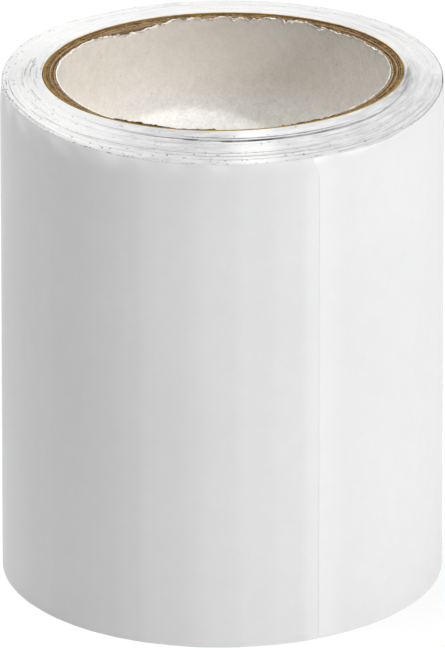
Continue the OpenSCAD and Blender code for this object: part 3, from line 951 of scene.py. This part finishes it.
    # flakes of paper curl off the torn edge
    rng = np.random.default_rng(77)
    edge_th = np.concatenate([th, th + 2 * np.pi])
    total = len(v)
    places = np.concatenate([rng.uniform(52.0, 132.0, 30), rng.uniform(14.0, 52.0, 5), rng.uniform(132.0, 168.0, 5)])
    for place in np.sort(places):
        wide, high, bow, down = rng.uniform(0.6, 3.2), rng.uniform(0.18, 0.48), rng.uniform(20, 75), rng.uniform(0.02, 0.40)
        s = np.linspace(0.0, 1.0, 11)
        a = np.radians(place) + s * wide / BORE_R
        size = high * np.maximum(0.12, np.sin(np.pi * s ** rng.uniform(0.6, 1.5)) ** 0.7 * (1 + 0.30 * rng.uniform(-1, 1, 11)))
        at_r = BORE_R - np.interp(a, edge_th, np.concatenate([flare, flare])) + 0.06
        at_z = np.interp(a, edge_th, np.concatenate([top, top])) - down
        u = np.linspace(0.0, 1.0, 5)
        lean_by = np.radians(bow + 70.0 * u)
        out = np.concatenate([[0.0], np.cumsum(np.sin(lean_by[1:]))]) / 4
        up = np.concatenate([[0.0], np.cumsum(np.cos(lean_by[1:]))]) / 4
        rr = at_r[:, None] - size[:, None] * out
        zz = at_z[:, None] + size[:, None] * up
        skin = 0.045 * (1 - 0.6 * u)
        rr = np.concatenate([rr, (rr + skin * 0.7)[:, ::-1]], 1)
        zz = np.concatenate([zz, (zz - skin)[:, ::-1]], 1)
        v, q = sweep_faces(polar(rr, a[:, None], zz), False)
        verts.append(v)
        quads.append(q + total)
        total += len(v)
        tone = rng.uniform(0.15, 0.95)
        for key, value in (("torn", tone), ("upper_shade", 0.0), ("soil_and_shade", 0.0), ("light_tint", 0.0)):
            looks[key].append(np.full(len(v), value))
    verts = np.concatenate(verts)
    verts[:, 0] += ASIDE * MM
    ob = mesh_piece("core_lining_paper", verts, np.concatenate(quads), None,
                    {key: np.concatenate(x) for key, x in looks.items()}, 60.0)
    finish_piece(ob, PAPER)
    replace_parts(ob, "core_inner_liner")
    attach(ob, "roll")


lining()

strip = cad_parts["starter_strip"]
strip.data.materials.clear()
strip.data.materials.append(ADH)

# --- floor, light and camera ---------------------------------------------------------------
ring = np.linspace(0, 2 * np.pi, 96, endpoint=False)
radii = np.array([0.06, 0.3, 1.5, 8.0, 40.0])
fv = [np.array([[0.0, 0.0, -0.00005]])] + [np.stack([q * np.cos(ring), q * np.sin(ring), np.full(96, -0.00005)], 1) for q in radii]
fv = np.concatenate(fv)
i = np.arange(96)
ft = np.stack([np.zeros(96, int), 1 + i, 1 + (i + 1) % 96], 1)
fq = np.concatenate([np.stack([1 + 96 * k + i, 1 + 96 * (k + 1) + i, 1 + 96 * (k + 1) + (i + 1) % 96, 1 + 96 * k + (i + 1) % 96], 1)
                     for k in range(len(radii) - 1)])
floor = mesh_piece("floor", fv, fq, ft, None, 0)
fm = Look("floor_paper")
cloud = fm.noise(fm.coord, 3.0, 3.0)
fm.set(Base_Color=fm.mix(fm.ramp(cloud, 0.3, 0.7), (0.28, 0.28, 0.28), (0.30, 0.30, 0.30)))
fm.bsdf.inputs["Roughness"].default_value = 0.9
fm.bsdf.inputs["Specular IOR Level"].default_value = 0.1
fm.bsdf.inputs["Emission Color"].default_value = (1.0, 1.0, 1.0, 1.0)
fm.bsdf.inputs["Emission Strength"].default_value = 0.77
floor.data.materials.append(fm.mat)

world = bpy.data.worlds.new("studio")
bpy.context.scene.world = world
world.use_nodes = True
wn = world.node_tree.nodes
wl = world.node_tree.links
wn.clear()
w_out = wn.new("ShaderNodeOutputWorld")
w_dim = wn.new("ShaderNodeBackground")
w_dim.inputs[0].default_value = (1.0, 1.0, 1.0, 1.0)
w_dim.inputs[1].default_value = 0.04
w_seen = wn.new("ShaderNodeBackground")
w_seen.inputs[0].default_value = (1.0, 1.0, 1.0, 1.0)
w_seen.inputs[1].default_value = 1.0
w_mix = wn.new("ShaderNodeMixShader")
w_path = wn.new("ShaderNodeLightPath")
wl.new(w_path.outputs["Is Camera Ray"], w_mix.inputs[0])
wl.new(w_dim.outputs[0], w_mix.inputs[1])
wl.new(w_seen.outputs[0], w_mix.inputs[2])
wl.new(w_mix.outputs[0], w_out.inputs[0])


def softbox(name, side, up, distance, size, power, colour=(1.0, 1.0, 1.0), aim=(0, 0, 0.07)):
    """side: degrees from the front towards the right; up: degrees above the horizon."""
    li = bpy.data.lights.new(name, "AREA")
    li.shape = "DISK"
    li.size = size
    li.energy = power
    li.color = colour
    ob = bpy.data.objects.new(name, li)
    bpy.context.scene.collection.objects.link(ob)
    s, u = math.radians(side), math.radians(up)
    d = Vector((math.sin(s) * math.cos(u), -math.cos(s) * math.cos(u), math.sin(u)))
    ob.location = Vector(aim) + d * distance
    ob.rotation_mode = "QUATERNION"
    ob.rotation_quaternion = d.to_track_quat("Z", "Y")
    ob.visible_camera = False
    return ob


softbox("key_light", 51.0, 25.0, 2.2, 0.8, 31.0)
softbox("top_light", -90.0, 77.0, 2.0, 0.9, 22.0)
softbox("overhead_light", 0.0, 90.0, 2.0, 0.9, 1.5)
softbox("back_light", -165.0, 58.0, 2.0, 0.8, 16.0)
# a narrow lamp above the roll shines down the bore, on its far wall
def bore_lamp(name, power, half, blend, aim, colour):
    li = bpy.data.lights.new(name, "SPOT")
    li.energy = power
    li.color = colour
    li.spot_size = math.radians(2 * half)
    li.spot_blend = blend
    li.shadow_soft_size = 0.0005
    ob = bpy.data.objects.new(name, li)
    bpy.context.scene.collection.objects.link(ob)
    ob.location = (0.0, 0.0, W * MM + 0.06)
    ob.rotation_mode = "QUATERNION"
    ob.rotation_quaternion = (Vector(aim) - ob.location).to_track_quat("-Z", "Y")
    ob.visible_camera = False


bore_lamp("bore_light", 0.275, 19.2, 0.05, (-0.0050, 0.0182, 0.0), (0.96, 0.955, 1.0))
# light from the pale table, up through the bore
li = bpy.data.lights.new("bore_fill", "AREA")
li.shape = "DISK"
li.size = 0.036
li.energy = 0.0095
ob = bpy.data.objects.new("bore_fill", li)
bpy.context.scene.collection.objects.link(ob)
ob.location = (ASIDE * MM, 0.0, 0.028)
ob.rotation_mode = "QUATERNION"
ob.rotation_quaternion = Vector((0.0, 0.0, -1.0)).to_track_quat("Z", "Y")
ob.visible_camera = False

cam = bpy.data.cameras.new("camera")
cam_ob = bpy.data.objects.new("camera", cam)
bpy.context.scene.collection.objects.link(cam_ob)
cam.sensor_fit = "AUTO"
cam.sensor_width = 36.0
cam.lens = 972.6
cam.clip_start = 0.1
cam.clip_end = 100.0
cam_ob.location = (0.0, -3.713943, 1.604471)
aim = Vector((0.00017, 0.0, 0.05901))
cam_ob.rotation_mode = "QUATERNION"
cam_ob.rotation_quaternion = (aim - cam_ob.location).to_track_quat("-Z", "Y")
bpy.context.scene.camera = cam_ob

view = bpy.context.scene.view_settings
view.view_transform = "Standard"
view.look = "None"
view.exposure = 0.0
view.gamma = 1.0
